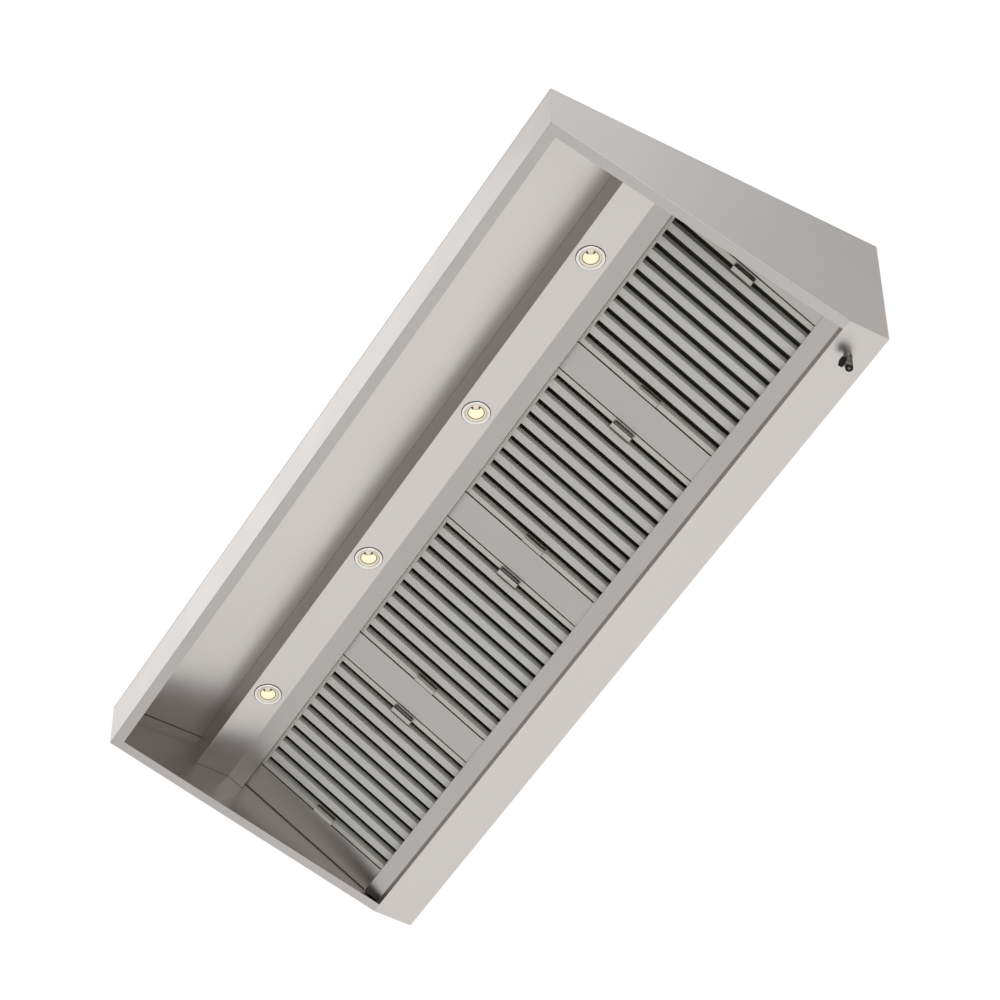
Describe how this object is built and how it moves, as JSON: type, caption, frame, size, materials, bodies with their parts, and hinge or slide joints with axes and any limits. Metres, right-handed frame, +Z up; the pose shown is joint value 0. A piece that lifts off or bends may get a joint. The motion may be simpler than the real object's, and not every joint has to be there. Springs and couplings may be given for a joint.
{
  "type": "commercial wall canopy hood",
  "caption": "Wedge-shaped stainless wall canopy hood with lift-out baffle filters, recessed lamps in a light bar, a rear grease gutter and a drain cock.",
  "frame": {"origin": "centre of the four wall fixing holes on the back face", "axes": "+X along the hood to the right as seen from the front, +Y into the wall, +Z up"},
  "size_m": [2, 0.8, 0.41],
  "materials": {
    "satin_stainless": "satin brushed stainless sheet",
    "filter_steel": "satin stainless frame",
    "baffle_steel": "satin stainless baffles",
    "galvanised_steel": "galvanised sheet",
    "bright_steel": "polished lamp ring",
    "diffuser": "frosted warm white lens",
    "cast_aluminium": "die cast heat sink",
    "spring_steel": "bare spring strip",
    "drain_steel": "turned steel",
    "black_plastic": "moulded black knob",
    "grey_nylon": "moulded grey nylon",
    "white_plastic": "moulded white case"
  },
  "bodies": {
    "canopy": {"roof_panel": "satin_stainless", "side_panel_left": "satin_stainless", "side_panel_right": "satin_stainless", "front_fascia": "satin_stainless", "rear_panel": "satin_stainless", "grease_gutter": "satin_stainless", "lower_filter_channel": "satin_stainless", "light_box": "satin_stainless", "light_box_cover": "satin_stainless", "blank_plate_1": "satin_stainless", "blank_plate_2": "satin_stainless", "blank_plate_3": "satin_stainless", "blank_plate_4": "satin_stainless", "blank_plate_5": "satin_stainless", "exhaust_collar": "galvanised_steel", "hanger_bracket_1": "galvanised_steel", "hanger_bracket_2": "galvanised_steel", "hanger_bracket_3": "galvanised_steel", "hanger_bracket_4": "galvanised_steel", "cable_gland": "grey_nylon", "cable_gland_nut": "grey_nylon", "led_driver": "white_plastic", "lamp_bezels": "bright_steel", "lamp_lenses": "diffuser", "lamp_heat_sinks": "cast_aluminium", "lamp_clips": "spring_steel", "drain_body": "drain_steel", "drain_lock_nut": "drain_steel"},
    "filter_1": {"filter_1_frame": "filter_steel", "filter_1_front_baffles": "baffle_steel", "filter_1_rear_baffles": "baffle_steel", "filter_1_pulls": "filter_steel"},
    "filter_2": {"filter_2_frame": "filter_steel", "filter_2_front_baffles": "baffle_steel", "filter_2_rear_baffles": "baffle_steel", "filter_2_pulls": "filter_steel"},
    "filter_3": {"filter_3_frame": "filter_steel", "filter_3_front_baffles": "baffle_steel", "filter_3_rear_baffles": "baffle_steel", "filter_3_pulls": "filter_steel"},
    "filter_4": {"filter_4_frame": "filter_steel", "filter_4_front_baffles": "baffle_steel", "filter_4_rear_baffles": "baffle_steel", "filter_4_pulls": "filter_steel"},
    "drain_cock": {"drain_plug": "drain_steel", "drain_knob": "black_plastic"}
  },
  "joints": [
    {"name": "filter_1_lift", "type": "slide", "parent": "canopy", "child": "filter_1", "axis": [0, -0.866, 0.5001], "range_m": [0, 0.016]},
    {"name": "filter_2_lift", "type": "slide", "parent": "canopy", "child": "filter_2", "axis": [0, -0.866, 0.5001], "range_m": [0, 0.016]},
    {"name": "filter_3_lift", "type": "slide", "parent": "canopy", "child": "filter_3", "axis": [0, -0.866, 0.5001], "range_m": [0, 0.016]},
    {"name": "filter_4_lift", "type": "slide", "parent": "canopy", "child": "filter_4", "axis": [0, -0.866, 0.5001], "range_m": [0, 0.016]},
    {"name": "drain_turn", "type": "hinge", "parent": "canopy", "child": "drain_cock", "pos_m": [0.92, -0.0485, -0.186], "axis": [0, -1, 0], "range_deg": [0, 90]}
  ]
}
